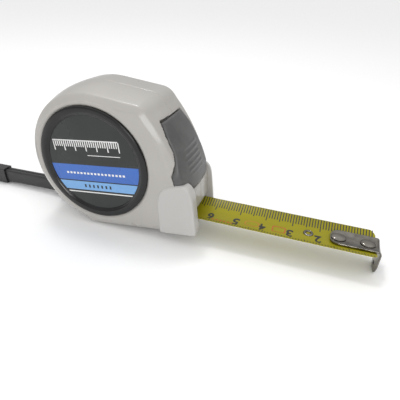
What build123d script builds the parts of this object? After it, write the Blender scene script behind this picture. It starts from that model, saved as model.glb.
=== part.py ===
"""Pocket tape measure with a 16 mm blade, a self-locking brake and a wrist strap.

Millimetres, +Z up. The tool stands on a table as it does with its blade drawn out: on the
rear end of its flat base and on the tip of its hook, so the case is tipped nose up and the
blade runs level along +X. The origin is the centre of the footprint, on the table.
The label is on the -Y side and the belt clip on the +Y side.
"""
import os
from math import cos, radians, sin, sqrt, tan

from build123d import *

# Driving dimensions
BLADE_WIDTH = 16.0
BLADE_THICKNESS = 0.25      # steel with its lacquer and the clear wear coat
BLADE_SAGITTA = 1.8         # how far the edges curl up over the middle
BLADE_OUT = 63.7            # travel of the hook from the mouth to where it stands
BACK_RADIUS = 27.5          # round back of the case, about the reel axis
REEL_HEIGHT = 26.5          # reel axis over the flat base
FRONT_HALF = 12.4           # blade centre to the label side of the case
BACK_HALF = 10.6            # blade centre to the clip side of the case
HALF_THICKNESS = 13.6       # blade centre to the label ring, and to the belt clip
WALL = 1.8
TILT = 7.0                  # nose-up tip of the case on the table
COIL_RADIUS = 18.8
DRUM_RADIUS = 15.0
POST_RADIUS = 2.5
RUNNING_GAP = 0.05          # radial clearance of a shaft in its hole
FIT_GAP = 0.1               # round a piece that is set into another
FUSE = 0.1                  # shapes of one solid run this far into each other
HOOK_FLOAT = 0.8            # play of the hook on its rivets
HOOK_SHEET = 0.8
HOOK_STAND_OFF = 1.1        # hook to the case, with the blade wound in
STRAP_WIDTH = 6.0
STRAP_THICKNESS = 1.7

os.makedirs("parts", exist_ok=True)


# The case stands in its own frame: u runs forward along the base, v up from the reel axis.
tip = radians(TILT)
heel_u = -sqrt(BACK_RADIUS**2 - REEL_HEIGHT**2)      # rear end of the flat base
lip_u = 35.4                                         # front face over the mouth
reel_z = -heel_u * sin(tip) + REEL_HEIGHT * cos(tip)
blade_z = reel_z - COIL_RADIUS                       # underside of the blade
lip_reach = lip_u * cos(tip) + REEL_HEIGHT * sin(tip)  # lip's foot ahead of the reel axis
hook_reach = lip_reach + HOOK_STAND_OFF + BLADE_OUT  # hook's inner face ahead of it
reel_x = (BACK_RADIUS - hook_reach - HOOK_SHEET) / 2

reel_axis = (reel_x, 0, reel_z)
forward = (cos(tip), 0, sin(tip))
side = Plane(origin=reel_axis, x_dir=forward, z_dir=(0, -1, 0))
front = Plane(origin=reel_axis, x_dir=(0, 1, 0), z_dir=forward)
hook_x = reel_x + hook_reach
blade_end = hook_x - HOOK_FLOAT - FIT_GAP


def to_world(u, v, y=0.0):
    """The point of the world at (u, v) in the case's frame."""
    return side.from_local_coords((u, v, -y))


# ---------------------------------------------------------------- case
# Side view of the case: round back, sloping top and a bowed front over a flat base.
crown_angle = radians(78)
crown = (BACK_RADIUS * cos(crown_angle), BACK_RADIUS * sin(crown_angle))
brow, brow_mid, brow_end = (21.0, 23.4), (24.2, 21.9), (26.2, 19.1)
bow_mid, bow_end = (33.3, 4.6), (36.2, -11.0)
toe = (lip_u, -REEL_HEIGHT)

with BuildSketch() as outline:
    with BuildLine():
        ThreePointArc((heel_u, -REEL_HEIGHT), (-BACK_RADIUS, 0), crown)
        Line(crown, brow)
        ThreePointArc(brow, brow_mid, brow_end)
        ThreePointArc(brow_end, bow_mid, bow_end)
        Line(bow_end, toe)
        Line(toe, (heel_u, -REEL_HEIGHT))
    make_face()

with BuildSketch() as cavity:
    add(outline.sketch)
    offset(amount=-WALL, kind=Kind.INTERSECTION, mode=Mode.REPLACE)

# Cheek beside the mouth: a raised pad with a domed top.
with BuildSketch() as cheek:
    with BuildLine():
        Line((22.5, -REEL_HEIGHT), (24.0, -12.5))
        ThreePointArc((24.0, -12.5), (30.8, -6.2), (37.4, -10.5))
        Line((37.4, -10.5), (37.0, -REEL_HEIGHT))
        Line((37.0, -REEL_HEIGHT), (22.5, -REEL_HEIGHT))
    make_face()

BOSS_RADIUS = 2.6
SCREW_RADIUS = 1.1
SCREW_HEAD_RADIUS = 2.0
boss_spots = [(24.5, 20), (22.9, 95), (22.9, 165), (22.9, 228)]
boss_places = [(r * cos(radians(a)), r * sin(radians(a))) for r, a in boss_spots]

PIVOT = (28.0, 12.5)        # release button's hinge, in the case's frame
PIVOT_RADIUS = 1.1
PIN_INSET = 1.4             # wall left outside each end of the hinge pin
RING_RADIUS = 22.0
LABEL_RADIUS = 18.6
RING_SINK = 0.8             # the ring and label sit this deep in the case
MOUTH_HALF = 9.2
MOUTH_FLOOR, MOUTH_ROOF = -24.6, -18.9
SHOULDER_DEPTH = 2.4        # the label side's rim slopes in this far along Y
SHOULDER_TAPER = 54.8       # degrees, so 3.4 mm in towards the reel axis
BACK_SHOULDER_DEPTH = 1.8
CAVITY_FRONT = FRONT_HALF - 3.0   # inside faces of the two halves
CAVITY_BACK = BACK_HALF - WALL

# Space that the release button fills in the case's front.
with BuildSketch() as button_side:
    with BuildLine():
        Polyline((32.4, -9.4), (31.2, 4.0), (25.6, 15.6), (40.0, 15.6), (40.0, -9.4), close=True)
    make_face()

with BuildSketch() as button_face:
    with BuildLine():
        Polyline((-15, -5.0), (-15, 4.0), (-8.4, 15.6), (6.2, 15.6), (13, 4.0), (13, -5.0),
                 (9.0, -5.0), (8.2, -9.4), (-8.2, -9.4), (-9.0, -5.0), close=True)
    make_face()
BUTTON_SEAM = 0.6
BUTTON_TRAVEL_SEAM = 0.9
BUTTON_CUT, BUTTON_REACH = 20.0, 24.0    # the face's outline runs this far ahead of the reel axis

with BuildPart() as button_space:
    with BuildSketch(side):
        add(button_side.sketch)
        offset(amount=BUTTON_TRAVEL_SEAM, kind=Kind.INTERSECTION, mode=Mode.REPLACE)
    extrude(amount=16, both=True)
    with BuildSketch(front.offset(BUTTON_CUT)):
        add(button_face.sketch)
        offset(amount=BUTTON_SEAM, kind=Kind.INTERSECTION, mode=Mode.REPLACE)
    extrude(amount=BUTTON_REACH, mode=Mode.INTERSECT)

MOUTH_DEPTH = 9.0
mouth_centre = (31.0 + MOUTH_DEPTH / 2, (MOUTH_FLOOR + MOUTH_ROOF) / 2)
PILOT_DEPTH = 7.0
screw_tip = PILOT_DEPTH - 0.5
SCREW_HEAD = 0.7

with BuildPart() as case_front:
    with BuildSketch(side):
        add(outline.sketch)
    extrude(amount=FRONT_HALF - SHOULDER_DEPTH)
    with BuildSketch(side.offset(FRONT_HALF - SHOULDER_DEPTH)):
        add(outline.sketch)
    extrude(amount=SHOULDER_DEPTH, taper=SHOULDER_TAPER)
    with BuildSketch(side.offset(MOUTH_HALF + 0.4)):
        add(cheek.sketch)
    extrude(amount=FRONT_HALF - MOUTH_HALF + 0.2)
    with BuildSketch(side):
        add(cavity.sketch)
    extrude(amount=CAVITY_FRONT, mode=Mode.SUBTRACT)
    with BuildSketch(side):
        with Locations(*boss_places):
            Circle(BOSS_RADIUS)
    extrude(amount=CAVITY_FRONT + FUSE)
    with BuildSketch(side):
        with Locations(*boss_places):
            Circle(SCREW_RADIUS)
    extrude(amount=PILOT_DEPTH, mode=Mode.SUBTRACT)
    with BuildSketch(side.offset(FRONT_HALF)):
        Circle(RING_RADIUS + FIT_GAP)
    extrude(amount=-RING_SINK, mode=Mode.SUBTRACT)
    with BuildSketch(side):
        with Locations(mouth_centre):
            Rectangle(MOUTH_DEPTH, MOUTH_ROOF - MOUTH_FLOOR)
    extrude(amount=MOUTH_HALF, mode=Mode.SUBTRACT)
    with BuildSketch(side):
        with Locations(PIVOT):
            Circle(PIVOT_RADIUS)
    extrude(amount=FRONT_HALF - PIN_INSET, mode=Mode.SUBTRACT)
    add(button_space.part, mode=Mode.SUBTRACT)

with BuildPart() as case_back:
    with BuildSketch(side):
        add(outline.sketch)
    extrude(amount=-(BACK_HALF - BACK_SHOULDER_DEPTH))
    with BuildSketch(side.offset(-(BACK_HALF - BACK_SHOULDER_DEPTH))):
        add(outline.sketch)
    extrude(amount=-BACK_SHOULDER_DEPTH, taper=SHOULDER_TAPER)
    with BuildSketch(side.offset(-MOUTH_HALF - 0.1)):
        add(cheek.sketch)
    extrude(amount=-(BACK_HALF - MOUTH_HALF))
    with BuildSketch(side):
        add(cavity.sketch)
    extrude(amount=-CAVITY_BACK, mode=Mode.SUBTRACT)
    with BuildSketch(side):
        with Locations(*boss_places):
            Circle(BOSS_RADIUS)
    extrude(amount=-(CAVITY_BACK + FUSE))
    with BuildSketch(side):
        with Locations(*boss_places):
            Circle(SCREW_RADIUS)
    extrude(amount=-BACK_HALF, mode=Mode.SUBTRACT)
    with BuildSketch(side.offset(-BACK_HALF)):
        with Locations(*boss_places):
            Circle(SCREW_HEAD_RADIUS + FIT_GAP)
        Circle(LABEL_RADIUS + FIT_GAP)
    extrude(amount=RING_SINK, mode=Mode.SUBTRACT)
    with BuildSketch(side):
        with Locations(mouth_centre):
            Rectangle(MOUTH_DEPTH, MOUTH_ROOF - MOUTH_FLOOR)
    extrude(amount=-MOUTH_HALF, mode=Mode.SUBTRACT)
    with BuildSketch(side):
        with Locations(PIVOT):
            Circle(PIVOT_RADIUS)
    extrude(amount=-(BACK_HALF - PIN_INSET), mode=Mode.SUBTRACT)
    add(button_space.part, mode=Mode.SUBTRACT)

with BuildPart() as case_screws:
    with BuildSketch(side.offset(screw_tip)):
        with Locations(*boss_places):
            Circle(SCREW_RADIUS)
    extrude(amount=-(screw_tip + BACK_HALF - RING_SINK))
    with BuildSketch(side.offset(-(BACK_HALF - RING_SINK))):
        with Locations(*boss_places):
            Circle(SCREW_HEAD_RADIUS)
    extrude(amount=-SCREW_HEAD)
    with BuildSketch(side.offset(-(BACK_HALF - RING_SINK + SCREW_HEAD))):
        with Locations(*boss_places):
            Rectangle(2.4, 0.5)
            Rectangle(0.5, 2.4)
    extrude(amount=0.4, mode=Mode.SUBTRACT)

# ---------------------------------------------------------------- labels
label_seat = FRONT_HALF - RING_SINK
LABEL_THICKNESS = 1.1

with BuildPart() as label_ring:
    with BuildSketch(side.offset(label_seat)):
        Circle(RING_RADIUS)
        Circle(LABEL_RADIUS, mode=Mode.SUBTRACT)
    extrude(amount=HALF_THICKNESS - label_seat)
    ring_rims = label_ring.edges().group_by(Axis.Y)[0]
    fillet(ring_rims, radius=0.7)

with BuildPart() as label_disc:
    with BuildSketch(side.offset(label_seat)):
        Circle(LABEL_RADIUS - RUNNING_GAP)
    extrude(amount=LABEL_THICKNESS)

with BuildPart() as back_disc:
    with BuildSketch(side.offset(-(BACK_HALF - RING_SINK))):
        Circle(LABEL_RADIUS)
    extrude(amount=-RING_SINK)

# ---------------------------------------------------------------- belt clip
CLIP_WIDTH = 11.0
CLIP_SHEET = 0.8
CLIP_SCREW_V = 9.0          # over the reel axis
CLIP_SCREW_RADIUS = 2.4
CLIP_SCREW_HEAD = 1.2
clip_foot = BACK_HALF + CLIP_SHEET / 2
clip_bow = HALF_THICKNESS - CLIP_SHEET / 2

with BuildPart() as belt_clip:
    with BuildSketch(front.offset(-CLIP_WIDTH / 2)):
        with BuildLine():
            Polyline((clip_foot, 14.5), (clip_foot, 3.5), (clip_bow, 0.5), (clip_bow, -14.0),
                     (clip_bow - 0.9, -18.0), (clip_bow, -21.5))
            offset(amount=CLIP_SHEET / 2, side=Side.BOTH)
        make_face()
    extrude(amount=CLIP_WIDTH)
    with BuildSketch(side.offset(-BACK_HALF)):
        with Locations((0, CLIP_SCREW_V)):
            Circle(SCREW_RADIUS)
    extrude(amount=-CLIP_SHEET, mode=Mode.SUBTRACT)

with BuildPart() as clip_screw:
    with BuildSketch(side.offset(-(BACK_HALF + CLIP_SHEET))):
        with Locations((0, CLIP_SCREW_V)):
            Circle(CLIP_SCREW_RADIUS)
    extrude(amount=-CLIP_SCREW_HEAD)
    fillet(clip_screw.edges().group_by(Axis.Y)[-1], radius=0.5)
    with BuildSketch(side.offset(-(BACK_HALF + CLIP_SHEET))):
        with Locations((0, CLIP_SCREW_V)):
            Circle(SCREW_RADIUS)
    extrude(amount=CLIP_SHEET)
    with BuildSketch(side.offset(-(BACK_HALF + CLIP_SHEET + CLIP_SCREW_HEAD))):
        with Locations((0, CLIP_SCREW_V)):
            Rectangle(3.0, 0.6)
            Rectangle(0.6, 3.0)
    extrude(amount=0.5, mode=Mode.SUBTRACT)

# ---------------------------------------------------------------- reel
REEL_HALF = 8.0             # half width of the drum and of the wound blade
DRUM_WALL = 1.4
WEB = 1.0                   # thickness of the drum's web and of its cover
POST_SLOT = 0.8             # slit that holds the inner end of the power spring

with BuildPart() as spring_post:
    with BuildSketch(side.offset(-CAVITY_BACK)):
        Circle(POST_RADIUS)
        with Locations((POST_RADIUS / 2, 0)):
            Rectangle(POST_RADIUS, POST_SLOT, mode=Mode.SUBTRACT)
    extrude(amount=CAVITY_BACK + CAVITY_FRONT)

with BuildPart() as reel_drum:
    with BuildSketch(side.offset(-REEL_HALF)):
        Circle(DRUM_RADIUS)
        Circle(DRUM_RADIUS - DRUM_WALL, mode=Mode.SUBTRACT)
    extrude(amount=2 * REEL_HALF)
    with BuildSketch(side.offset(-REEL_HALF)):
        Circle(DRUM_RADIUS - DRUM_WALL / 2)
        Circle(POST_RADIUS + RUNNING_GAP, mode=Mode.SUBTRACT)
    extrude(amount=WEB)

with BuildPart() as drum_cover:
    with BuildSketch(side.offset(REEL_HALF - WEB)):
        Circle(DRUM_RADIUS - DRUM_WALL - RUNNING_GAP)
        Circle(POST_RADIUS + RUNNING_GAP, mode=Mode.SUBTRACT)
    extrude(amount=WEB)

with BuildPart() as blade_coil:
    with BuildSketch(side.offset(-BLADE_WIDTH / 2)):
        Circle(COIL_RADIUS)
        Circle(DRUM_RADIUS + RUNNING_GAP, mode=Mode.SUBTRACT)
    extrude(amount=BLADE_WIDTH)

# Power spring: half turns about two centres in turn, so that each runs on from the last.
SPRING_STRIP = 0.35
SPRING_STEP = 0.8           # growth in radius at each half turn, and the centres' spacing
SPRING_START = 3.6
HALF_TURNS = 12
spring_half = REEL_HALF - WEB - 0.5

with BuildPart() as power_spring:
    with BuildSketch(side.offset(-spring_half)):
        for turn in range(HALF_TURNS):
            radius = SPRING_START + turn * SPRING_STEP
            inner = radius - SPRING_STRIP
            middle = SPRING_STEP if turn % 2 else 0
            over = -1 if turn % 2 else 1
            with BuildLine():
                ThreePointArc((middle + radius, 0), (middle, over * radius), (middle - radius, 0))
                Line((middle - radius, 0), (middle - inner, 0))
                ThreePointArc((middle - inner, 0), (middle, over * inner), (middle + inner, 0))
                Line((middle + inner, 0), (middle + radius, 0))
            make_face()
    extrude(amount=2 * spring_half)

# ---------------------------------------------------------------- blade and hook
curl_radius = ((BLADE_WIDTH / 2) ** 2 + BLADE_SAGITTA**2) / (2 * BLADE_SAGITTA)
BLADE_INSIDE = 5.0          # behind the front of the case, where the blade has curled
LEAD_IN_START = 6.0         # ahead of the reel axis, where the outer turn has left the coil
blade_start = reel_x + lip_reach - BLADE_INSIDE
lead_in_start, lead_in_end = reel_x + LEAD_IN_START, blade_start - 0.3


def curled_section(width, low, high):
    """Closed outline across the blade, between two heights over its underside."""
    corners = []
    for height in (low, high):
        radius = curl_radius - height
        rise = radius - sqrt(radius**2 - (width / 2) ** 2)
        level = blade_z + height
        corners.append(((-width / 2, level + rise), (0, level), (width / 2, level + rise)))
    under, over = corners
    ThreePointArc(*under)
    Line(under[2], over[2])
    ThreePointArc(*over)
    Line(over[0], under[0])


RIVET_RADIUS = 1.2
RIVET_HEAD_RADIUS = 2.2
RIVET_HEAD = 0.6
RIVET_FOOT = 0.5
rivet_spots = [hook_x - 3.6, hook_x - 13.6]
HOOK_GAP = 0.1              # hook plate over the blade, so that it slides
HOOK_WIDTH = 9.0
HOOK_LENGTH = 16.4
PLATE_FLAT = 2.4            # half width of the plate's flat middle
PLATE_RISE = 0.5            # of its edges over that
UNDER_FLAT, UNDER_EDGE = 0.17, 0.56   # its underside clears the curled blade by these
hook_low = BLADE_THICKNESS + HOOK_GAP
hook_top = blade_z + hook_low + HOOK_SHEET

with BuildPart() as blade:
    with BuildSketch(Plane.YZ.offset(blade_start)):
        with BuildLine():
            curled_section(BLADE_WIDTH, 0, BLADE_THICKNESS)
        make_face()
    extrude(amount=blade_end - blade_start)
    with BuildSketch(Plane.XY.offset(blade_z - 1)):
        with Locations(*[(x, 0) for x in rivet_spots]):
            Circle(RIVET_RADIUS)
    extrude(amount=3, mode=Mode.SUBTRACT)

with BuildPart() as blade_lead_in:
    with BuildSketch(Plane.XY.offset(blade_z)):
        with Locations(((lead_in_start + lead_in_end) / 2, 0)):
            Rectangle(lead_in_end - lead_in_start, BLADE_WIDTH)
    extrude(amount=BLADE_THICKNESS)

with BuildPart() as hook_rivets:
    for x in rivet_spots:
        with BuildSketch(Plane.XY.offset(blade_z - RIVET_FOOT)):
            with Locations((x, 0)):
                Circle(RIVET_HEAD_RADIUS)
        extrude(amount=RIVET_FOOT)
        with BuildSketch(Plane.XY.offset(blade_z)):
            with Locations((x, 0)):
                Circle(RIVET_RADIUS)
        extrude(amount=hook_low + HOOK_SHEET + HOOK_GAP)
        with BuildSketch(Plane.XY.offset(hook_top + HOOK_GAP)):
            with Locations((x, 0)):
                Circle(RIVET_HEAD_RADIUS)
        extrude(amount=RIVET_HEAD)
    fillet(hook_rivets.edges().group_by(Axis.Z)[-1], radius=0.4)

EYELET_BACK = 24.0          # behind the hook's inner face
EYELET_HEIGHT = 0.3
EYELET_SEAT = 0.08          # the curled blade's rise under the eyelet's rim
with BuildPart() as blade_eyelet:
    with BuildSketch(Plane.XY.offset(blade_z + BLADE_THICKNESS + EYELET_SEAT)):
        with Locations((hook_x - EYELET_BACK, 0)):
            Circle(1.7)
            Circle(0.9, mode=Mode.SUBTRACT)
    extrude(amount=EYELET_HEIGHT)

# Hook: a plate along the blade, folded down over its end into a tapered leg.
LEG_TIP_HALF = 3.2
NAIL_HOLE_HEIGHT, NAIL_HOLE_RADIUS = 2.4, 0.8
LEG_TAPER = 3.4             # height over the tip at which the leg starts to narrow
plate_half = HOOK_WIDTH / 2
plate_low = blade_z + hook_low
with BuildPart() as hook:
    with BuildSketch(Plane.YZ.offset(hook_x - HOOK_LENGTH)):
        with BuildLine():
            Polyline((-plate_half, plate_low + UNDER_EDGE), (-plate_half, hook_top + PLATE_RISE),
                     (-PLATE_FLAT, hook_top), (PLATE_FLAT, hook_top),
                     (plate_half, hook_top + PLATE_RISE), (plate_half, plate_low + UNDER_EDGE),
                     (PLATE_FLAT, plate_low + UNDER_FLAT), (-PLATE_FLAT, plate_low + UNDER_FLAT),
                     close=True)
        make_face()
    extrude(amount=HOOK_LENGTH)
    with BuildSketch(Plane.YZ.offset(hook_x)):
        with BuildLine():
            Polyline((-plate_half, hook_top + PLATE_RISE), (-PLATE_FLAT, hook_top),
                     (PLATE_FLAT, hook_top), (plate_half, hook_top + PLATE_RISE),
                     (plate_half, LEG_TAPER), (LEG_TIP_HALF, 0.0), (-LEG_TIP_HALF, 0.0),
                     (-plate_half, LEG_TAPER), close=True)
        make_face()
    extrude(amount=HOOK_SHEET)
    with BuildSketch(Plane.YZ.offset(hook_x)):
        with Locations((0, NAIL_HOLE_HEIGHT)):
            Circle(NAIL_HOLE_RADIUS)
    extrude(amount=HOOK_SHEET, mode=Mode.SUBTRACT)
    with BuildSketch(Plane.XY.offset(blade_z)):
        with Locations(*[(x + HOOK_FLOAT / 2, 0) for x in rivet_spots]):
            SlotOverall(2 * (RIVET_RADIUS + FIT_GAP) + HOOK_FLOAT, 2 * (RIVET_RADIUS + FIT_GAP))
    extrude(amount=4, mode=Mode.SUBTRACT)

# ---------------------------------------------------------------- release button and brake
BUTTON_PROUD = 0.6
BUTTON_INSET = 0.4          # its ends inside the flat sides of the case
BUTTON_WALL = 2.6
BARREL_RADIUS = 2.2
LEVER_HALF = 5.5            # half width of the brake lever, along Y
SHOE_LIFT = 0.7             # shoe over the blade, enough for the blade's eyelet
SHOE_HEIGHT = 2.0
SHOE_LENGTH = 6.0
SHOE_AHEAD = 17.0           # middle of the shoe, ahead of the reel axis
shoe_low = BLADE_THICKNESS + SHOE_LIFT
shoe_top = shoe_low + SHOE_HEIGHT - COIL_RADIUS


def to_case(ahead, over):
    """(u, v) of a point so far ahead of and over the reel axis, measured level and plumb."""
    return (ahead * cos(tip) + over * sin(tip), over * cos(tip) - ahead * sin(tip))


with BuildPart() as release_button:
    with BuildSketch(side.offset(FRONT_HALF - BUTTON_INSET)):
        add(outline.sketch)
        offset(amount=BUTTON_PROUD, kind=Kind.INTERSECTION, mode=Mode.REPLACE)
        with BuildSketch(mode=Mode.SUBTRACT):
            add(outline.sketch)
            offset(amount=-BUTTON_WALL, kind=Kind.INTERSECTION, mode=Mode.REPLACE)
        add(button_side.sketch, mode=Mode.INTERSECT)
    extrude(amount=-(FRONT_HALF + BACK_HALF - 2 * BUTTON_INSET))
    with BuildSketch(front.offset(BUTTON_CUT)):
        add(button_face.sketch)
    extrude(amount=BUTTON_REACH, mode=Mode.INTERSECT)
    with BuildSketch(side):
        with Locations(PIVOT):
            Circle(BARREL_RADIUS)
    extrude(amount=LEVER_HALF, both=True)
    with BuildSketch(side):
        with Locations(PIVOT):
            Circle(PIVOT_RADIUS + RUNNING_GAP)
    extrude(amount=FRONT_HALF, both=True, mode=Mode.SUBTRACT)

with BuildPart() as button_pin:
    with BuildSketch(side.offset(FRONT_HALF - PIN_INSET)):
        with Locations(PIVOT):
            Circle(PIVOT_RADIUS)
    extrude(amount=-(FRONT_HALF + BACK_HALF - 2 * PIN_INSET))

heel = to_case(SHOE_AHEAD - SHOE_LENGTH / 2, shoe_top)
sole = to_case(SHOE_AHEAD + SHOE_LENGTH / 2, shoe_top)
with BuildPart() as brake_lever:
    with BuildSketch(side):
        with BuildLine():
            Polyline(heel, sole, (28.6, -7.6), (32.4, -4.6), (32.4, 0.0), (30.6, 0.0), (30.4, -2.6),
                     (27.2, -5.2), (sole[0] - 0.6, sole[1] + 2.6), (heel[0] + 0.3, heel[1] + 1.3), close=True)
        make_face()
    extrude(amount=LEVER_HALF, both=True)
    add(release_button.part, mode=Mode.SUBTRACT)

with BuildPart() as brake_shoe:
    with BuildSketch(Plane.XY.offset(blade_z + shoe_low)):
        with Locations((reel_x + SHOE_AHEAD, 0)):
            Rectangle(SHOE_LENGTH, 2 * LEVER_HALF)
    extrude(amount=SHOE_HEIGHT)

LEAF_THICKNESS = 0.4
LEAF_HALF = 3.0             # half width of the leaf spring, along Y
with BuildPart() as button_spring:
    with BuildSketch(side):
        with BuildLine():
            Polyline((25.9, 9.0), (26.1, 3.0), (30.1, -0.4))
            offset(amount=LEAF_THICKNESS / 2, side=Side.BOTH)
        make_face()
    extrude(amount=LEAF_HALF, both=True)

# ---------------------------------------------------------------- wrist strap
EAR_TOP, EAR_LOW = -14.6, -23.6
EAR_THICKNESS = 1.1
EAR_END = -29.4
LUG_WIDTH = 8.0
LUG_Y = 2.5
LUG_WEB = 0.9               # the web that joins the ears, outside the case's round back
STRAP_PIN_U = -27.2
STRAP_PIN_RADIUS = 1.0

strap_pin_foot = to_world(STRAP_PIN_U, EAR_LOW, LUG_Y)
pin_plane = Plane(origin=strap_pin_foot, x_dir=(0, 1, 0), z_dir=(-sin(tip), 0, cos(tip)))

with BuildPart() as strap_lug:
    with BuildSketch(side.offset(LUG_WIDTH / 2 - LUG_Y)):
        with BuildLine():
            Polyline((-10, EAR_LOW), (EAR_END, EAR_LOW), (EAR_END, EAR_TOP), (-10, EAR_TOP), close=True)
        make_face()
        Circle(BACK_RADIUS + RUNNING_GAP, mode=Mode.SUBTRACT)
        with BuildSketch(mode=Mode.SUBTRACT):
            with BuildLine():
                Polyline((-10, EAR_LOW + EAR_THICKNESS), (EAR_END, EAR_LOW + EAR_THICKNESS),
                         (EAR_END, EAR_TOP - EAR_THICKNESS), (-10, EAR_TOP - EAR_THICKNESS), close=True)
            make_face()
            Circle(BACK_RADIUS + LUG_WEB, mode=Mode.SUBTRACT)
    extrude(amount=-LUG_WIDTH)
    with BuildSketch(pin_plane):
        Circle(STRAP_PIN_RADIUS)
    extrude(amount=EAR_TOP - EAR_LOW, mode=Mode.SUBTRACT)

with BuildPart() as strap_pin:
    with BuildSketch(pin_plane):
        Circle(STRAP_PIN_RADIUS)
    extrude(amount=EAR_TOP - EAR_LOW)

# Doubled tab: the strap goes round the pin and both layers run back into the clamp.
TAB_LENGTH = 36.0
TAB_DROP = 1.5              # degrees down from the lug to the table
EYE_RADIUS = 1.5
NECK_START = 8.0            # behind the pin, where the layers come together
LAYER = 1.65                # a layer of the doubled strap
LAYER_GAP = 0.1
neck = LAYER + LAYER_GAP / 2
drop = radians(TAB_DROP)
tab_middle = to_world(STRAP_PIN_U, (EAR_TOP + EAR_LOW) / 2 - 0.05, LUG_Y)
tab_plane = Plane(origin=tab_middle, x_dir=(-cos(drop), 0, -sin(drop)), z_dir=(-sin(drop), 0, cos(drop)))

with BuildSketch() as tab_eye:
    Circle(EYE_RADIUS)
    with Locations((NECK_START - 1.0, 0)):
        Rectangle(1.0, LAYER_GAP)
    make_hull()

with BuildPart() as strap_tab:
    with BuildSketch(tab_plane):
        Circle(EYE_RADIUS + LAYER)
        with Locations((NECK_START, 0)):
            Rectangle(1.0, 2 * neck)
        make_hull()
        with Locations(((NECK_START + TAB_LENGTH) / 2, 0)):
            Rectangle(TAB_LENGTH - NECK_START, 2 * neck)
        add(tab_eye.sketch, mode=Mode.SUBTRACT)
        with Locations(((NECK_START + TAB_LENGTH) / 2, 0)):
            Rectangle(TAB_LENGTH - NECK_START + 2.0, LAYER_GAP, mode=Mode.SUBTRACT)
    extrude(amount=STRAP_WIDTH / 2, both=True)

CLAMP_LENGTH = 6.0
CLAMP_WALL = 0.6            # beside the strap
CLAMP_LIP = 0.5             # over and under it
clamp_gap = 2 * neck + FIT_GAP
CLAMP_END = 39.0            # behind the pin
clamp_plane = Plane(origin=tab_plane.from_local_coords((CLAMP_END - CLAMP_LENGTH, 0, 0)),
                    x_dir=(0, 1, 0), z_dir=tab_plane.x_dir)
with BuildPart() as strap_clamp:
    with BuildSketch(clamp_plane):
        RectangleRounded(clamp_gap + 2 * CLAMP_WALL, STRAP_WIDTH + FIT_GAP + 2 * CLAMP_LIP, 0.4)
        Rectangle(clamp_gap, STRAP_WIDTH + FIT_GAP, mode=Mode.SUBTRACT)
    extrude(amount=CLAMP_LENGTH)

# Hand loop: one flat band on its edge, out of the clamp, round on the table and back into it.
loop_start = tab_plane.from_local_coords((CLAMP_END, 0, 0))
LOOP_SETTLE = 0.3           # degrees, from the clamp's height down to the table
settle = radians(LOOP_SETTLE)
loop_plane = Plane(origin=loop_start, x_dir=(-cos(settle), 0, -sin(settle)),
                   z_dir=(-sin(settle), 0, cos(settle)))
loop_points = [(0, 0.9), (16, 1.7), (34, 4.8), (56, 9.6), (80, 13.5), (105, 13.5), (123, 6), (128.5, -6.5),
               (119, -18), (97, -22.5), (73, -19), (51, -11.8), (32, -5.3), (16, -2.1), (0, -0.9)]


def bend_radii(points):
    """One radius for each inner point: 0.45 of the shorter run over the tangent of half the turn."""
    radii = []
    for before, here, after in zip(points, points[1:], points[2:]):
        run_in, run_out = Vector(*here) - Vector(*before), Vector(*after) - Vector(*here)
        half_turn = radians(run_in.get_angle(run_out)) / 2
        radii.append(0.45 * min(run_in.length, run_out.length) / tan(half_turn))
    return radii


loop_radii = bend_radii(loop_points)
with BuildPart() as strap_loop:
    with BuildLine(loop_plane) as loop_route:
        FilletPolyline(*loop_points, radius=loop_radii)
    loop_wire = loop_route.wire()
    with BuildSketch(Plane(origin=loop_wire @ 0, x_dir=loop_plane.y_dir, z_dir=loop_wire % 0)):
        Rectangle(STRAP_THICKNESS, STRAP_WIDTH)
    sweep()

print("wrist loop radii", [round(r, 1) for r in loop_radii])
print("wrist loop length", round(loop_wire.length, 1),
      "volume", round(strap_loop.part.volume, 1),
      "section times length", round(STRAP_THICKNESS * STRAP_WIDTH * loop_wire.length, 1))
for x, y in loop_points:
    print("wrist loop point", [round(c, 2) for c in loop_plane.from_local_coords((x, y, 0))])

# ---------------------------------------------------------------- write the pieces
pieces = {
    "case_front": case_front,
    "case_back": case_back,
    "case_screws": case_screws,
    "label_ring": label_ring,
    "label_disc": label_disc,
    "back_disc": back_disc,
    "belt_clip": belt_clip,
    "clip_screw": clip_screw,
    "spring_post": spring_post,
    "reel_drum": reel_drum,
    "drum_cover": drum_cover,
    "power_spring": power_spring,
    "blade_coil": blade_coil,
    "blade_lead_in": blade_lead_in,
    "blade": blade,
    "blade_eyelet": blade_eyelet,
    "hook_rivets": hook_rivets,
    "hook": hook,
    "release_button": release_button,
    "button_pin": button_pin,
    "button_spring": button_spring,
    "brake_lever": brake_lever,
    "brake_shoe": brake_shoe,
    "strap_lug": strap_lug,
    "strap_pin": strap_pin,
    "strap_tab": strap_tab,
    "strap_clamp": strap_clamp,
    "strap_loop": strap_loop,
}
for name, piece in pieces.items():
    piece.part.label = name
    export_step(piece.part, f"parts/{name}.step")
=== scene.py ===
"""Looks of the pocket tape measure, in metres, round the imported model.

Lengths of the case are given in millimetres in its own frame: u runs forward along the flat base
and v up from the reel's axis. The whole case is tipped seven degrees nose up.
"""
import math

import bmesh
import bpy
import numpy as np
from mathutils import Matrix, Vector


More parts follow.
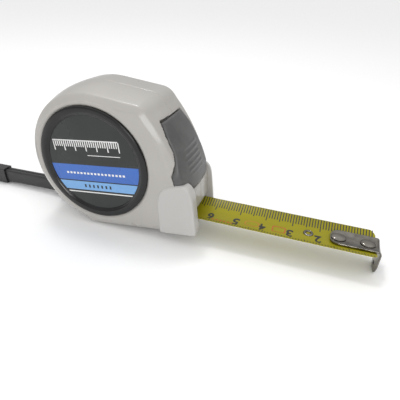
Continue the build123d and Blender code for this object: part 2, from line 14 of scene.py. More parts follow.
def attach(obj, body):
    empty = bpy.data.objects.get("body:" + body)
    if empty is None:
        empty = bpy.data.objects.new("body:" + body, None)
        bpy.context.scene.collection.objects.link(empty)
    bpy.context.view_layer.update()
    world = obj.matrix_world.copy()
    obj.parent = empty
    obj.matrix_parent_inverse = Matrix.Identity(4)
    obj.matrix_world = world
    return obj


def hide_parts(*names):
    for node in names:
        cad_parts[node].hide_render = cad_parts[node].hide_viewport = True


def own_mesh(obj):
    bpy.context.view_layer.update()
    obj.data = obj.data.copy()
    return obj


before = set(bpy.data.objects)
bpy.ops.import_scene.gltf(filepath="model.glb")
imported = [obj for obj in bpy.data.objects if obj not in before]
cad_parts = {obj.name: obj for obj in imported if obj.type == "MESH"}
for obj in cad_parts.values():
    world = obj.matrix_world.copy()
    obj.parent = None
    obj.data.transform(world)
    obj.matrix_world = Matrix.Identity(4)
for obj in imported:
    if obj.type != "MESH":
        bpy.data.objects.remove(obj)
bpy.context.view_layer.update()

# ---------------------------------------------------------------- camera
# Hand-held view from the label side, a little ahead of the case and above it.
camera = bpy.data.objects.new("camera", bpy.data.cameras.new("camera"))
bpy.context.scene.collection.objects.link(camera)
bpy.context.scene.camera = camera
CAMERA_PLACE = (0.0351, -0.11648, 0.08909)
camera.data.sensor_width = 36.0
camera.data.lens = 33.42
camera.data.clip_start = 0.005
camera_right = Vector((0.9477, 0.3171, 0.0371)).normalized()
camera_back = Vector((0.2508, -0.8112, 0.5282)).normalized()
camera_up = camera_back.cross(camera_right).normalized()
camera_right = camera_up.cross(camera_back).normalized()
camera_turn = Matrix((camera_right, camera_up, camera_back)).transposed().to_4x4()
camera.matrix_world = Matrix.Translation(CAMERA_PLACE) @ camera_turn

# ---------------------------------------------------------------- table and light
# White table top under a large soft tent, grey low down and white above, with two broad lamps
# that draw streaks on the gloss.
TABLE_HALF = 6.0
bpy.context.scene.view_settings.view_transform = "Standard"
world = bpy.data.worlds.new("tent")
bpy.context.scene.world = world
world.use_nodes = True
sky = world.node_tree
sky_place = sky.nodes.new("ShaderNodeTexCoord")
sky_height = sky.nodes.new("ShaderNodeSeparateXYZ")
sky_ramp = sky.nodes.new("ShaderNodeValToRGB")
sky_ramp.color_ramp.elements[0].color = (0.45, 0.45, 0.45, 1)
sky_ramp.color_ramp.elements[1].color = (1.0, 1.0, 1.0, 1)
sky_ramp.color_ramp.elements[0].position, sky_ramp.color_ramp.elements[1].position = 0.30, 0.85
sky.links.new(sky_place.outputs["Generated"], sky_height.inputs["Vector"])
sky.links.new(sky_height.outputs["Z"], sky_ramp.inputs["Fac"])
sky.links.new(sky_ramp.outputs["Color"], sky.nodes["Background"].inputs["Color"])
sky.nodes["Background"].inputs["Strength"].default_value = 1.12

table_mesh = bpy.data.meshes.new("table")
table_corners = [(x * TABLE_HALF, y * TABLE_HALF, 0) for x, y in ((-1, -1), (1, -1), (1, 1), (-1, 1))]
table_mesh.from_pydata(table_corners, [], [(0, 1, 2, 3)])
table_top = bpy.data.objects.new("table", table_mesh)
bpy.context.scene.collection.objects.link(table_top)
table_paint = bpy.data.materials.new("table_paint")
table_paint.use_nodes = True
table_shader = table_paint.node_tree.nodes["Principled BSDF"]
table_shader.inputs["Base Color"].default_value = (0.96, 0.96, 0.96, 1)
table_shader.inputs["Roughness"].default_value = 0.9
table_mesh.materials.append(table_paint)


def lamp(name, place, target, width, height, watts):
    """Rectangular lamp at a place, its face turned to the target."""
    light = bpy.data.lights.new(name, "AREA")
    light.shape = "RECTANGLE"
    light.size, light.size_y, light.energy = width, height, watts
    holder = bpy.data.objects.new(name, light)
    bpy.context.scene.collection.objects.link(holder)
    holder.location = place
    holder.rotation_mode = "QUATERNION"
    holder.rotation_quaternion = (Vector(target) - Vector(place)).to_track_quat("-Z", "Y")


CASE_MIDDLE = (-0.035, 0.0, 0.025)
lamp("lamp_over", (-0.14, 0.10, 0.50), CASE_MIDDLE, 0.11, 0.08, 0.6)
lamp("lamp_front", (0.10, -0.55, 0.16), CASE_MIDDLE, 0.30, 0.12, 0.8)

# ---------------------------------------------------------------- case
# Two halves moulded in warm grey ABS, screwed together from the clip side. The label half is
# deeper: its crowned band breaks at a crisp ridge into a shoulder that runs in to the label ring.
TIP = math.radians(7.0)
REEL = np.array((-0.0382328, 0.0, 0.0271980))
AHEAD = np.array((math.cos(TIP), 0.0, math.sin(TIP)))
OVER = np.array((-math.sin(TIP), 0.0, math.cos(TIP)))
ACROSS = np.array((0.0, 1.0, 0.0))


def on_case(u, v, y):
    """World point: the reel's centre plus u along the base, v up from it and y across, in mm."""
    u, v, y = np.broadcast_arrays(np.asarray(u, float), np.asarray(v, float), np.asarray(y, float))
    return REEL + 0.001 * (u[..., None] * AHEAD + v[..., None] * OVER + y[..., None] * ACROSS)


CLOUD_LOW, CLOUD_HIGH = 0.3, 0.7
COAT_ROUGH = 0.06
BUMP_DEPTH = 0.0001


def finish(name, dark, light, rough, metal=0.0, coat=0.0, grain=500.0, spread=0.05, bump=0.06,
           fine=4200.0, stretch=(1, 1, 1), shine=0.5):
    """Material whose colour wanders from dark to light with a noise and whose roughness wanders
    by spread with the same noise; a finer noise raises the surface by bump."""
    material = bpy.data.materials.new(name)
    material.use_nodes = True
    tree = material.node_tree
    shader = tree.nodes["Principled BSDF"]
    shader.inputs["Metallic"].default_value = metal
    shader.inputs["Coat Weight"].default_value = coat
    shader.inputs["Coat Roughness"].default_value = COAT_ROUGH
    shader.inputs["Specular IOR Level"].default_value = shine
    place = tree.nodes.new("ShaderNodeTexCoord")
    scale = tree.nodes.new("ShaderNodeMapping")
    scale.inputs["Scale"].default_value = stretch
    tree.links.new(place.outputs["Object"], scale.inputs["Vector"])
    cloud = tree.nodes.new("ShaderNodeTexNoise")
    cloud.inputs["Scale"].default_value = grain
    cloud.inputs["Detail"].default_value = 3.0
    tree.links.new(scale.outputs["Vector"], cloud.inputs["Vector"])
    ramp = tree.nodes.new("ShaderNodeValToRGB")
    ramp.color_ramp.elements[0].position = CLOUD_LOW
    ramp.color_ramp.elements[1].position = CLOUD_HIGH
    ramp.color_ramp.elements[0].color = (*dark, 1)
    ramp.color_ramp.elements[1].color = (*light, 1)
    tree.links.new(cloud.outputs["Fac"], ramp.inputs["Fac"])
    tree.links.new(ramp.outputs["Color"], shader.inputs["Base Color"])
    rub = tree.nodes.new("ShaderNodeMapRange")
    rub.inputs["From Min"].default_value = CLOUD_LOW
    rub.inputs["From Max"].default_value = CLOUD_HIGH
    rub.inputs["To Min"].default_value = max(rough - spread, 0.02)
    rub.inputs["To Max"].default_value = rough + spread
    tree.links.new(cloud.outputs["Fac"], rub.inputs["Value"])
    tree.links.new(rub.outputs["Result"], shader.inputs["Roughness"])
    tooth = tree.nodes.new("ShaderNodeTexNoise")
    tooth.inputs["Scale"].default_value = fine
    tree.links.new(scale.outputs["Vector"], tooth.inputs["Vector"])
    raised = tree.nodes.new("ShaderNodeBump")
    raised.inputs["Strength"].default_value = bump
    raised.inputs["Distance"].default_value = BUMP_DEPTH
    tree.links.new(tooth.outputs["Fac"], raised.inputs["Height"])
    tree.links.new(raised.outputs["Normal"], shader.inputs["Normal"])
    return material


def build(name, grids, materials, body, crisp=38, replaces=(), weld=2e-6):
    """Mesh from grids of points, a quad between each four neighbours. Each grid is (points of
    shape rows x columns x 3, material number, mask of the quads to keep or None). Points that
    meet within weld are joined, which closes seams and poles, faces are turned outwards, and
    edges that turn by more than crisp degrees stay sharp."""
    points, quads, paints, base = [], [], [], 0
    for grid, paint, keep in grids:
        rows, columns = grid.shape[:2]
        number = base + np.arange(rows * columns).reshape(rows, columns)
        patch = np.stack([number[:-1, :-1], number[:-1, 1:], number[1:, 1:], number[1:, :-1]], -1)
        patch = patch.reshape(-1, 4) if keep is None else patch[keep]
        points.append(grid.reshape(-1, 3))
        quads.append(patch)
        paints.append(np.full(len(patch), paint))
        base += rows * columns
    mesh = bpy.data.meshes.new(name)
    mesh.from_pydata(np.concatenate(points).tolist(), [], np.concatenate(quads).tolist())
    mesh.polygons.foreach_set("material_index", np.concatenate(paints).astype(np.int32))
    work = bmesh.new()
    work.from_mesh(mesh)
    bmesh.ops.remove_doubles(work, verts=work.verts, dist=weld)
    bmesh.ops.dissolve_degenerate(work, edges=work.edges, dist=1e-7)
    bmesh.ops.recalc_face_normals(work, faces=work.faces)
    work.to_mesh(mesh)
    work.free()
    mesh.polygons.foreach_set("use_smooth", np.ones(len(mesh.polygons), bool))
    mesh.set_sharp_from_angle(angle=math.radians(crisp))
    for material in materials:
        mesh.materials.append(material)
    piece = bpy.data.objects.new(name, mesh)
    bpy.context.scene.collection.objects.link(piece)
    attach(piece, body)
    if replaces:
        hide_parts(*replaces)
    return piece


def arc(start, via, end, count):
    """Evenly spaced points on the circle through three points, from the first to the last."""
    a, b, c = (np.array(p, float) for p in (start, via, end))
    twice = 2 * (a[0] * (b[1] - c[1]) + b[0] * (c[1] - a[1]) + c[0] * (a[1] - b[1]))
    sums = np.array([a @ a, b @ b, c @ c])
    centre = np.array((sums @ (b[1] - c[1], c[1] - a[1], a[1] - b[1]),
                       sums @ (c[0] - b[0], a[0] - c[0], b[0] - a[0]))) / twice
    first, middle, last = (math.atan2(*(p - centre)[::-1]) for p in (a, b, c))
    turn = (last - first) % math.tau
    if (middle - first) % math.tau > turn:
        turn -= math.tau
    angle = first + np.linspace(0, turn, count)
    return centre + math.dist(a, centre) * np.stack([np.cos(angle), np.sin(angle)], -1)


def evenly(points, count):
    """The same closed outline with its points at equal distances along it."""
    ring = np.vstack([points, points[:1]])
    run = np.r_[0, np.cumsum(np.hypot(*np.diff(ring, axis=0).T))]
    at = np.linspace(0, run[-1], count, endpoint=False)
    return np.stack([np.interp(at, run, ring[:, k]) for k in (0, 1)], -1)


def mellow(values, reach):
    """Average of each value with its neighbours round the ring, weighted by a raised cosine."""
    window = np.hanning(2 * reach + 3)[1:-1]
    shifts = range(-reach, reach + 1)
    return sum(w * np.roll(values, k, axis=0) for k, w in zip(shifts, window)) / window.sum()


def inward(outline):
    """Unit normals into a closed outline, whichever way round it runs."""
    ahead = np.roll(outline, -1, axis=0)
    along = ahead - np.roll(outline, 1, axis=0)
    along /= np.hypot(*along.T)[:, None]
    area = np.sum(outline[:, 0] * ahead[:, 1] - outline[:, 1] * ahead[:, 0])
    return np.stack([-along[:, 1], along[:, 0]], -1) * np.sign(area)


def depth_inside(u, v, corners):
    """Distance of each point to the nearest edge of a closed outline, negative outside it."""
    here = np.stack([u, v], -1)[..., None, :]
    start = np.array(corners, float)
    run = np.roll(start, -1, axis=0) - start
    share = np.clip(((here - start) * run).sum(-1) / (run * run).sum(-1), 0, 1)
    distance = np.hypot(*np.moveaxis(here - start - share[..., None] * run, -1, 0)).min(-1)
    end = start + run
    spans = (start[:, 1] > here[..., 1]) != (end[:, 1] > here[..., 1])
    rise = np.where(run[:, 1] == 0, 1e-9, run[:, 1])
    crossing = start[:, 0] + (here[..., 1] - start[:, 1]) * run[:, 0] / rise
    odd = (spans & (here[..., 0] < crossing)).sum(-1) % 2
    return np.where(odd == 1, distance, -distance)


# The rim, from the heel of the flat base over the round back and the crown to the shoulder, down
# the nose and to the lip. One column of the case's grid starts at each of its points.
BACK_RADIUS = 27.5
BASE_V = -26.5
LIP_U = 35.4
HEEL = (-math.sqrt(BACK_RADIUS**2 - BASE_V**2), BASE_V)
CROWN = (BACK_RADIUS * math.cos(math.radians(78)), BACK_RADIUS * math.sin(math.radians(78)))
SHOULDER = ((21.0, 23.4), (24.2, 21.9), (26.2, 19.1))
NOSE = (SHOULDER[-1], (33.3, 4.6), (36.2, -11.0))
COLUMNS = 640
RIM_SOFT, NORMAL_SOFT, FALL_SOFT, WALL_SOFT = 4, 12, 14, 10
rim = np.vstack([arc(HEEL, (-BACK_RADIUS, 0), CROWN, 300), arc(*SHOULDER, 40), arc(*NOSE, 120),
                 [(LIP_U, BASE_V)]])
rim = mellow(evenly(rim, COLUMNS), RIM_SOFT)
rim_in = mellow(inward(rim), NORMAL_SOFT)
rim_out = rim / np.hypot(*rim.T)[:, None]
MOUTH_HALF, MOUTH_FLOOR, MOUTH_ROOF = 9.2, -24.6, -18.9
front_columns = np.flatnonzero((rim[:, 0] > 24) & (rim[:, 1] > -26.0) & (rim[:, 1] < 21.0))
for level in (MOUTH_FLOOR, MOUTH_ROOF):
    nearest = front_columns[np.argmin(abs(rim[front_columns, 1] - level))]
    rim[nearest, 1] = level
below_mouth, above_mouth = (front_columns[np.argmin(abs(rim[front_columns, 1] - level))]
                            for level in (MOUTH_FLOOR, MOUTH_ROOF))
# The crown falls least along the base and more on the low nose than there.
on_base = rim[:, 1] < BASE_V + 0.6
on_low_nose = (rim[:, 0] > 30) & (rim[:, 1] < -10)
crown_fall = mellow(np.where(on_base, 0.35, np.where(on_low_nose, 0.9, 1.8)), FALL_SOFT)

RIDGE_IN = 0.3

# Half of the case: how far its band, ridge and shoulder reach across, and the circle they end on.
LABEL_SIDE = dict(sign=-1, band=11.6, ridge=12.0, edge=13.1, run_in=2.3, face=13.22, circle=23.3,
                  seat=21.85, floor=12.2, crown=1.0)
CLIP_SIDE = dict(sign=1, band=9.8, ridge=10.05, edge=10.5, run_in=0.9, face=10.6, circle=19.6,
                 seat=18.75, floor=9.85, crown=0.2)


def side_inset(side, reach, fall):
    """How far the surface lies inside the rim at a reach across: a parabola up to the band's
    edge, then straight down the shoulder."""
    bulge = side["crown"] * fall * (np.minimum(reach, side["band"]) / side["band"]) ** 2
    turns = (side["band"], side["ridge"], side["edge"])
    return bulge + np.interp(reach, turns, (0.0, RIDGE_IN, side["run_in"]))


def skin_inset(y, fall):
    """The same for a place across the case: negative on the label side, positive on the other."""
    reach = np.abs(y)
    return np.where(y < 0, side_inset(LABEL_SIDE, reach, fall), side_inset(CLIP_SIDE, reach, fall))


# Outline of the thumb button as (v, y) on its left and right edges. Its well is SEAM wider all
# round, reaches WELL_DROP lower and is BUTTON_WELL deep. The case's wall is thinner at the base.
BUTTON_LEFT = ((-9.5, -7.0), (-6.7, -9.1), (-5.6, -12.7), (-3.0, -12.9), (0.8, -11.8), (5.0, -10.3),
               (10.5, -9.9), (15.4, -8.5))
BUTTON_RIGHT = ((-9.5, 7.0), (-6.7, 8.9), (-5.6, 10.0), (0.8, 9.4), (5.0, 8.7), (10.5, 7.9), (15.4, 6.2))
button_edge = [(y, v) for v, y in BUTTON_LEFT] + [(y, v) for v, y in BUTTON_RIGHT[::-1]]
BUTTON_WELL = 2.3
SEAM = 0.4
WALL, BASE_WALL = 3.4, 1.7
WELL_DROP = 0.35

# Screws of the case, by distance from the reel's axis and angle, in counterbores.
BORE_RADIUS, BORE_DEPTH, BORE_SLOPE = 2.35, 1.0, 0.3
CLIP_FLAT = 9.2
PARTING = (0.14, 0.05)
SCREWS = [(r * math.cos(math.radians(a)), r * math.sin(math.radians(a)))
          for r, a in ((24.5, 20.0), (22.9, 95.0), (22.9, 165.0), (22.9, 228.0))]


def half_shell(side):
    """Grid of one half: rows run from the parting line over the band, ridge and shoulder, across
    the side to the ring's seat, and back along the inside of the wall; columns run round the rim.
    The mouth is left out of it and closed by its own two sides and the edge over it."""
    reach = np.r_[0.0, 0.07, 0.2, np.linspace(0.5, MOUTH_HALF, 30),
                  np.linspace(MOUTH_HALF, side["band"], 9)[1:],
                  np.linspace(side["band"], side["edge"], 14)[1:]]
    inset = side_inset(side, reach[:, None], crown_fall[None])
    inset[:2] += np.array(PARTING)[:, None]
    flat = rim[None] + rim_in[None] * inset[..., None]
    y = np.array(np.broadcast_to(reach[:, None], inset.shape))
    mouth_rows = int(np.argmin(abs(reach - MOUTH_HALF)))
    share = np.linspace(0, 1, 24)[1:]
    ease = share[:, None, None]
    across = flat[-1] * (1 - ease) + side["circle"] * rim_out * ease
    rise = side["edge"] + (side["face"] - side["edge"]) * np.minimum(share * 4, 1)
    tail = np.array([(side["circle"] - 0.5, side["face"]), (side["seat"] + 0.3, side["face"]),
                     (side["seat"], side["face"] - 0.35), (side["seat"], side["floor"]),
                     (side["seat"] - 0.9, side["floor"]), (side["seat"] - 0.9, side["floor"] - 1.2)])
    rolled = tail[:, 0, None, None] * rim_out
    inner_reach = np.r_[side["floor"] - 1.2, reach[mouth_rows::-1]]
    wall = mellow(np.where(rim[:, 1] < BASE_V + 1.5, BASE_WALL, WALL), WALL_SOFT)
    inner_inset = wall + np.r_[1.4, np.zeros(mouth_rows + 1)][:, None]
    inner = rim[None] + rim_in[None] * inner_inset[..., None]
    flat = np.concatenate([flat, across, rolled, inner])
    ring = np.ones(COLUMNS)
    y = np.concatenate([y, rise[:, None] * ring, tail[:, 1, None] * ring, inner_reach[:, None] * ring])
    outer = len(reach) + len(share) + 4
    for _ in range(2):  # rounds the ridges of the outer skin
        flat[1:outer] = (flat[:outer - 1] + 2 * flat[1:outer] + flat[2:outer + 1]) / 4
        y[1:outer] = (y[:outer - 1] + 2 * y[1:outer] + y[2:outer + 1]) / 4
    if side["sign"] > 0:
        for screw_u, screw_v in SCREWS:
            away = np.hypot(flat[:outer, :, 0] - screw_u, flat[:outer, :, 1] - screw_v)
            bore = np.clip((BORE_RADIUS - away) / BORE_SLOPE, 0, 1)
            y[:outer] -= BORE_DEPTH * bore * (y[:outer] > CLIP_FLAT)
    y *= side["sign"]
    well_edge = [(edge_y, edge_v - WELL_DROP * (edge_v < -5.0)) for edge_y, edge_v in button_edge]
    sunk = depth_inside(y, flat[..., 1], well_edge) + SEAM
    on_band = np.arange(len(flat))[:, None] < len(reach)
    sunk = np.where((flat[..., 0] > 22) & on_band, sunk, -1)
    well = BUTTON_WELL * np.clip(sunk / 0.2, 0, 1)
    flat = flat + rim_in[None] * well[..., None]
    points = on_case(flat[..., 0], flat[..., 1], y)
    points = np.concatenate([points, points[:1]])
    points = np.concatenate([points, points[:, :1]], 1)
    keep = np.ones((points.shape[0] - 1, points.shape[1] - 1), bool)
    low, high = sorted((below_mouth, above_mouth))
    inside = len(points) - 2 - mouth_rows
    keep[:mouth_rows, low:high] = False
    keep[inside:, low:high] = False
    sides = [np.stack([points[:mouth_rows + 1, k], points[inside:-1, k][::-1]]) for k in (low, high)]
    over = np.stack([points[mouth_rows, low:high + 1], points[inside, low:high + 1]])
    return [(points, 0, keep), (sides[0], 0, None), (sides[1], 0, None), (over, 0, None)]


abs_grey = finish("case_abs", (0.39, 0.375, 0.35), (0.415, 0.40, 0.375), 0.30, coat=0.25,
                  grain=60.0, spread=0.03, bump=0.02, fine=2600.0)
abs_pale = finish("cheek_abs", (0.455, 0.445, 0.43), (0.48, 0.47, 0.455), 0.36, coat=0.1,
                  grain=60.0, spread=0.03, bump=0.02, fine=2600.0)
for half_name, half_side, half_node in (("case_half_label", LABEL_SIDE, "case_front"),
                                        ("case_half_clip", CLIP_SIDE, "case_back")):
    build(half_name, half_shell(half_side), [abs_grey], "case", 50, (half_node,))

# ---------------------------------------------------------------- mouth
# Slot for the blade in the front of the case, with a thin chamfer and straight walls, between
# two raised cheeks. Each cheek is a pad with a rounded top that stands ahead of the case.
face_order = np.argsort(rim[front_columns, 1])
face_v = rim[front_columns, 1][face_order]
face_table = np.column_stack([rim[front_columns, 0], *rim_in[front_columns].T,
                              crown_fall[front_columns]])[face_order]


def mouth_walls():
    """Four walls: the slot's outline at the front, drawn in by the chamfer, then run back."""
    across = np.r_[np.linspace(-1, 1, 24), np.ones(10), np.linspace(1, -1, 24), -np.ones(10)]
    up = np.r_[np.zeros(24), np.linspace(0, 1, 10), np.ones(24), np.linspace(1, 0, 10)]
    depth = np.array((0.0, 0.15, 0.35, 2.0, 5.0, 9.0, 9.0, 0.0))[:, None]
    draw = np.array((0.03, 0.15, 0.3, 0.33, 0.38, 0.45, 0.03, 0.03))[:, None]
    floor, roof = MOUTH_FLOOR + draw, MOUTH_ROOF - draw
    v = floor + (roof - floor) * up
    y = across * (MOUTH_HALF - draw)
    face = np.interp(v, face_v, face_table[:, 0])
    fall = np.interp(v, face_v, face_table[:, 3])
    return on_case(face - skin_inset(y, fall) - depth, v, y)


build("mouth_liner", [(mouth_walls(), 0, None)], [abs_grey], "case", 60)


def pad(outline, near, far, soft_near, soft_far):
    """Closed plate: the outline swept across from near to far, its edges rounded by quarter
    circles, each face a fan of rings to its middle."""
    normal = inward(outline)
    middle = outline.mean(0)
    quarter = np.linspace(0, math.pi / 2, 6)
    way = np.sign(far - near)
    levels = []
    for face, soft, out in ((near, soft_near, -way), (far, soft_far, way)):
        ring = outline + normal * soft
        cap = [(middle + (ring - middle) * k, face) for k in np.linspace(0, 1, 7)]
        edge = [(outline + normal * soft * (1 - math.sin(a)), face - out * soft * (1 - math.cos(a)))
                for a in quarter[1:]]
        levels.append(cap + edge)
    stack = levels[0] + levels[1][::-1]
    points = np.stack([on_case(ring[:, 0], ring[:, 1], np.full(len(ring), y)) for ring, y in stack])
    return np.concatenate([points, points[:, :1]], 1)


CHEEK = [(22.8, -26.45), (23.4, -14.0), (24.4, -10.2), (26.4, -7.6), (29.6, -6.2), (33.4, -5.8),
         (35.9, -6.3), (37.3, -8.6), (37.6, -11.5), (37.5, -26.0), (37.1, -26.45)]
cheek_rim = mellow(evenly(np.array(CHEEK), 160), 6)
for cheek_name, cheek_out, cheek_in in (("cheek_label", -13.5, -9.3), ("cheek_clip", 10.9, 9.3)):
    cheek_skin = pad(cheek_rim, cheek_out, cheek_in, soft_near=0.9, soft_far=0.25)
    build(cheek_name, [(cheek_skin, 0, None)], [abs_pale], "case", 50)

# ---------------------------------------------------------------- release button
# Thumb pad over-moulded in dark grey rubber. It stands a little proud of the nose in a well of
# its own, hinged at its top, and its lower part has cross ribs for the thumb.
BUTTON_PROUD = 0.5
BUTTON_SKIRT = 1.2
BUTTON_ROUND = 0.8
RIB_PITCH, RIB_HIGH = 1.9, 0.2
rubber = finish("button_rubber", (0.072, 0.072, 0.072), (0.098, 0.098, 0.096), 0.36, grain=260.0,
                bump=0.22, fine=3600.0)


def nose(v, y, lift):
    """Point of the nose's outer skin at a height and a reach across, lifted straight out of it."""
    u, in_u, in_v, fall = (np.interp(v, face_v, face_table[:, k]) for k in range(4))
    inset = skin_inset(y, fall) - lift
    return on_case(u + in_u * inset, v + in_v * inset, y)


def thumb_pad():
    """Rows up the nose, columns from the left edge to the right one; the height over the skin is
    a quarter circle near the edge, plus ribs in the middle, and a skirt goes down all round."""
    v = np.linspace(-9.5, 15.4, 84)[:, None]
    left, right = (np.interp(v, *np.array(edge).T) for edge in (BUTTON_LEFT, BUTTON_RIGHT))
    y = left + (right - left) * np.linspace(0, 1, 72)[None]
    v = np.broadcast_to(v, y.shape)
    inside = np.clip(depth_inside(y, v, button_edge), 0, BUTTON_ROUND) / BUTTON_ROUND
    lift = BUTTON_PROUD * np.sqrt(1 - (1 - inside) ** 2)
    ribs = np.cos((v + 1.0) * math.tau / RIB_PITCH) * np.clip((5.4 - np.abs(v - 0.2)) / 0.8, 0, 1)
    lift = lift + RIB_HIGH * np.clip(ribs, 0, 1) * np.clip((6.2 - np.abs(y + 0.8)) / 0.9, 0, 1)
    y, v = np.pad(y, 1, mode="edge"), np.pad(v, 1, mode="edge")
    lift = np.pad(lift, 1, constant_values=-BUTTON_SKIRT)
    return [(nose(v, y, lift), 0, None), (nose(v, y, np.full(y.shape, -BUTTON_SKIRT)), 0, None)]


build("thumb_button", thumb_pad(), [rubber], "brake", 60, ("release_button",))

# ---------------------------------------------------------------- label
# Gloss black ring clipped into the side of the case, round a printed film: charcoal with a blue
# and a pale blue band. The print is a plain ruler scale, a line and dashes, with no lettering.
RING = [(21.75, 12.3), (21.75, 13.15), (21.6, 13.42), (21.3, 13.6), (20.0, 13.6), (19.4, 13.5),
        (19.05, 13.2), (18.85, 13.05), (18.55, 13.0), (18.35, 12.8), (18.35, 12.2), (20.0, 12.2),
        (21.75, 12.3)]


def lathe(profile, u, v, sign, turns=160):
    """Surface of revolution about a line across the case at (u, v): radius and reach per row."""
    profile = np.array(profile, float)
    angle = np.linspace(0, math.tau, turns + 1)
    radius, reach = profile[:, 0, None], profile[:, 1, None]
    return on_case(u + radius * np.cos(angle), v + radius * np.sin(angle), sign * reach)


gloss_black = finish("ring_black", (0.006, 0.006, 0.006), (0.010, 0.010, 0.010), 0.17, coat=0.05,
                     grain=120.0, spread=0.04, bump=0.02, shine=0.4)
build("label_bezel", [(lathe(RING, 0, 0, -1), 0, None)], [gloss_black], "case", 50,
      ("label_ring",))

PRINT = dict(grain=90.0, bump=0.01)
film = finish("film_charcoal", (0.018, 0.021, 0.020), (0.024, 0.028, 0.026), 0.24, coat=0.05, shine=0.4,
              **PRINT)
film_blue = finish("film_blue", (0.036, 0.125, 0.45), (0.042, 0.14, 0.49), 0.28, coat=0.1, **PRINT)
film_pale = finish("film_pale_blue", (0.165, 0.36, 0.66), (0.18, 0.39, 0.70), 0.28, coat=0.1, **PRINT)
film_white = finish("film_white", (0.74, 0.74, 0.73), (0.80, 0.80, 0.79), 0.28, coat=0.3, **PRINT)
FILM_RADIUS = 18.55
FILM_FACE = -12.72
PRINT_RISE = 0.03
# Bands of the film as (top, bottom, material number), from the top down.
BANDS = [(18.5, -0.5, 0), (-0.5, -7.0, 1), (-7.0, -7.45, 0), (-7.45, -11.0, 2), (-11.0, -11.75, 0),
         (-11.75, -12.2, 3), (-12.2, -18.5, 0)]


def band(top, bottom, number):
    """Part of the disc between two levels: each row spans the chord at its height."""
    v = np.linspace(top, bottom, 2 + int((top - bottom) / 0.8))[:, None]
    u = np.sqrt(FILM_RADIUS**2 - v**2) * np.linspace(-1, 1, 40)[None]
    return on_case(u, v, FILM_FACE), number, None


def bars(u0, u1, v0, v1, number):
    """Printed bars, one for each entry of the arrays, a hair proud of the film."""
    u0, u1, v0, v1 = np.broadcast_arrays(u0, u1, v0, v1)
    u = np.stack([u0, u1], -1)[:, None, :].repeat(2, 1)
    v = np.stack([v0, v1], -1)[:, :, None].repeat(2, 2)
    points = on_case(u, v, FILM_FACE - PRINT_RISE).reshape(-1, 2, 3)
    keep = np.ones((len(points) - 1, 1), bool)
    keep[1::2] = False
    return points, number, keep


tick_u = np.arange(-15.2, 11.9, 0.9)
tick_tall = np.where(np.arange(len(tick_u)) % 5 == 0, 3.8, 2.2)
scale_bars = bars(tick_u, tick_u + 0.42, 8.8 - tick_tall, 8.8, 3)
scale_line = bars((-15.2, -1.5), 11.9, (8.8, 3.3), (9.2, 3.55), 3)
dash_u = np.arange(-12.6, 12.4, 1.5)
dash_bars = bars(dash_u, dash_u + 0.9, -4.35, -3.55, 3)
pale_u = np.arange(-6.0, 6.6, 1.8)
pale_bars = bars(pale_u, pale_u + 0.7, -9.9, -8.6, 0)
build("label_film", [band(*b) for b in BANDS] + [scale_bars, scale_line, dash_bars, pale_bars],
      [film, film_blue, film_pale, film_white], "case", 60, ("label_disc",))

# ---------------------------------------------------------------- blade
# Spring steel strip, 16 mm wide and curled across, lacquered yellow, its lengths in mm. Black
# millimetre marks run along both edges, with centimetre figures that stand upside down as seen
# from the label side, and a few orange and red marks.
HOOK_X = 64.933
BLADE_Z = 8.398
BLADE_START, BLADE_END = -4.867, 64.033
BLADE_THICKNESS = 0.25
BLADE_HALF = 8.0
CURL_RISE = 1.8
CURL_RADIUS = (BLADE_HALF**2 + CURL_RISE**2) / (2 * CURL_RISE)
PRINT_LIFT = 0.02
EDGE_GAP = 0.12
FIGURE_SIZE = np.array((2.45, 5.2))
FIGURE_Y = -2.9


def on_blade(x, y, over=0.0):
    """World point on the blade: its cross section is an arc that lifts both edges."""
    x, y, over = np.broadcast_arrays(np.asarray(x, float), np.asarray(y, float), np.asarray(over, float))
    z = BLADE_Z + over + CURL_RADIUS - np.sqrt(CURL_RADIUS**2 - y**2)
    return 0.001 * np.stack([x, y, z], -1)


def blade_strip():
    """Closed strip: rows along it, columns over the top and back underneath; its end narrows."""
    x = np.r_[np.linspace(BLADE_START, BLADE_END - 1.8, 60),
              BLADE_END - np.array((1.4, 1.0, 0.6, 0.25, 0.0))]
    half = np.interp(x, (BLADE_END - 1.8, BLADE_END - 0.5, BLADE_END),
                     (BLADE_HALF, BLADE_HALF - 1.0, BLADE_HALF - 1.9))
    q = np.linspace(-1, 1, 33)
    loop_q = np.r_[q, q[::-1], q[:1]]
    loop_z = np.r_[np.full(33, BLADE_THICKNESS), np.zeros(33), BLADE_THICKNESS]
    skin = on_blade(x[:, None], half[:, None] * loop_q, loop_z)
    both_faces = np.array((BLADE_THICKNESS, 0.0))[:, None]
    caps = [on_blade(x[k], half[k] * q[None], both_faces) for k in (0, -1)]
    return [(skin, 0, None)] + [(cap, 0, None) for cap in caps]


def marks(x, y0, y1, width, number):
    """Printed strokes across the blade, each a strip of quads that follows the curl."""
    x, y0, y1, width = np.broadcast_arrays(x, y0, y1, width)
    share = np.linspace(0, 1, 6)
    y = y0[:, None] + (y1 - y0)[:, None] * share
    edge = x[:, None, None] + np.array((-0.5, 0.5)) * width[:, None, None]
    points = on_blade(np.broadcast_to(edge, (*y.shape, 2)), y[..., None], BLADE_THICKNESS + PRINT_LIFT)
    keep = np.ones((points.shape[0] * 6 - 1, 1), bool)
    keep[5::6] = False
    return points.reshape(-1, 2, 3), number, keep


step = np.arange(1, 69)
mark_x = HOOK_X - step
fits = (mark_x < BLADE_END - 0.3) & (mark_x > BLADE_START + 0.3)
step, mark_x = step[fits], mark_x[fits]
far_long = np.where(step % 10 == 0, 5.6, np.where(step % 5 == 0, 4.7, 4.0))
near_long = np.where(step % 10 == 0, 2.9, np.where(step % 5 == 0, 2.4, 1.7))
mark_y = BLADE_HALF - EDGE_GAP
far_marks = marks(mark_x, mark_y, mark_y - far_long, 0.36, 1)
near_marks = marks(mark_x, -mark_y, -mark_y + near_long, 0.30, 1)


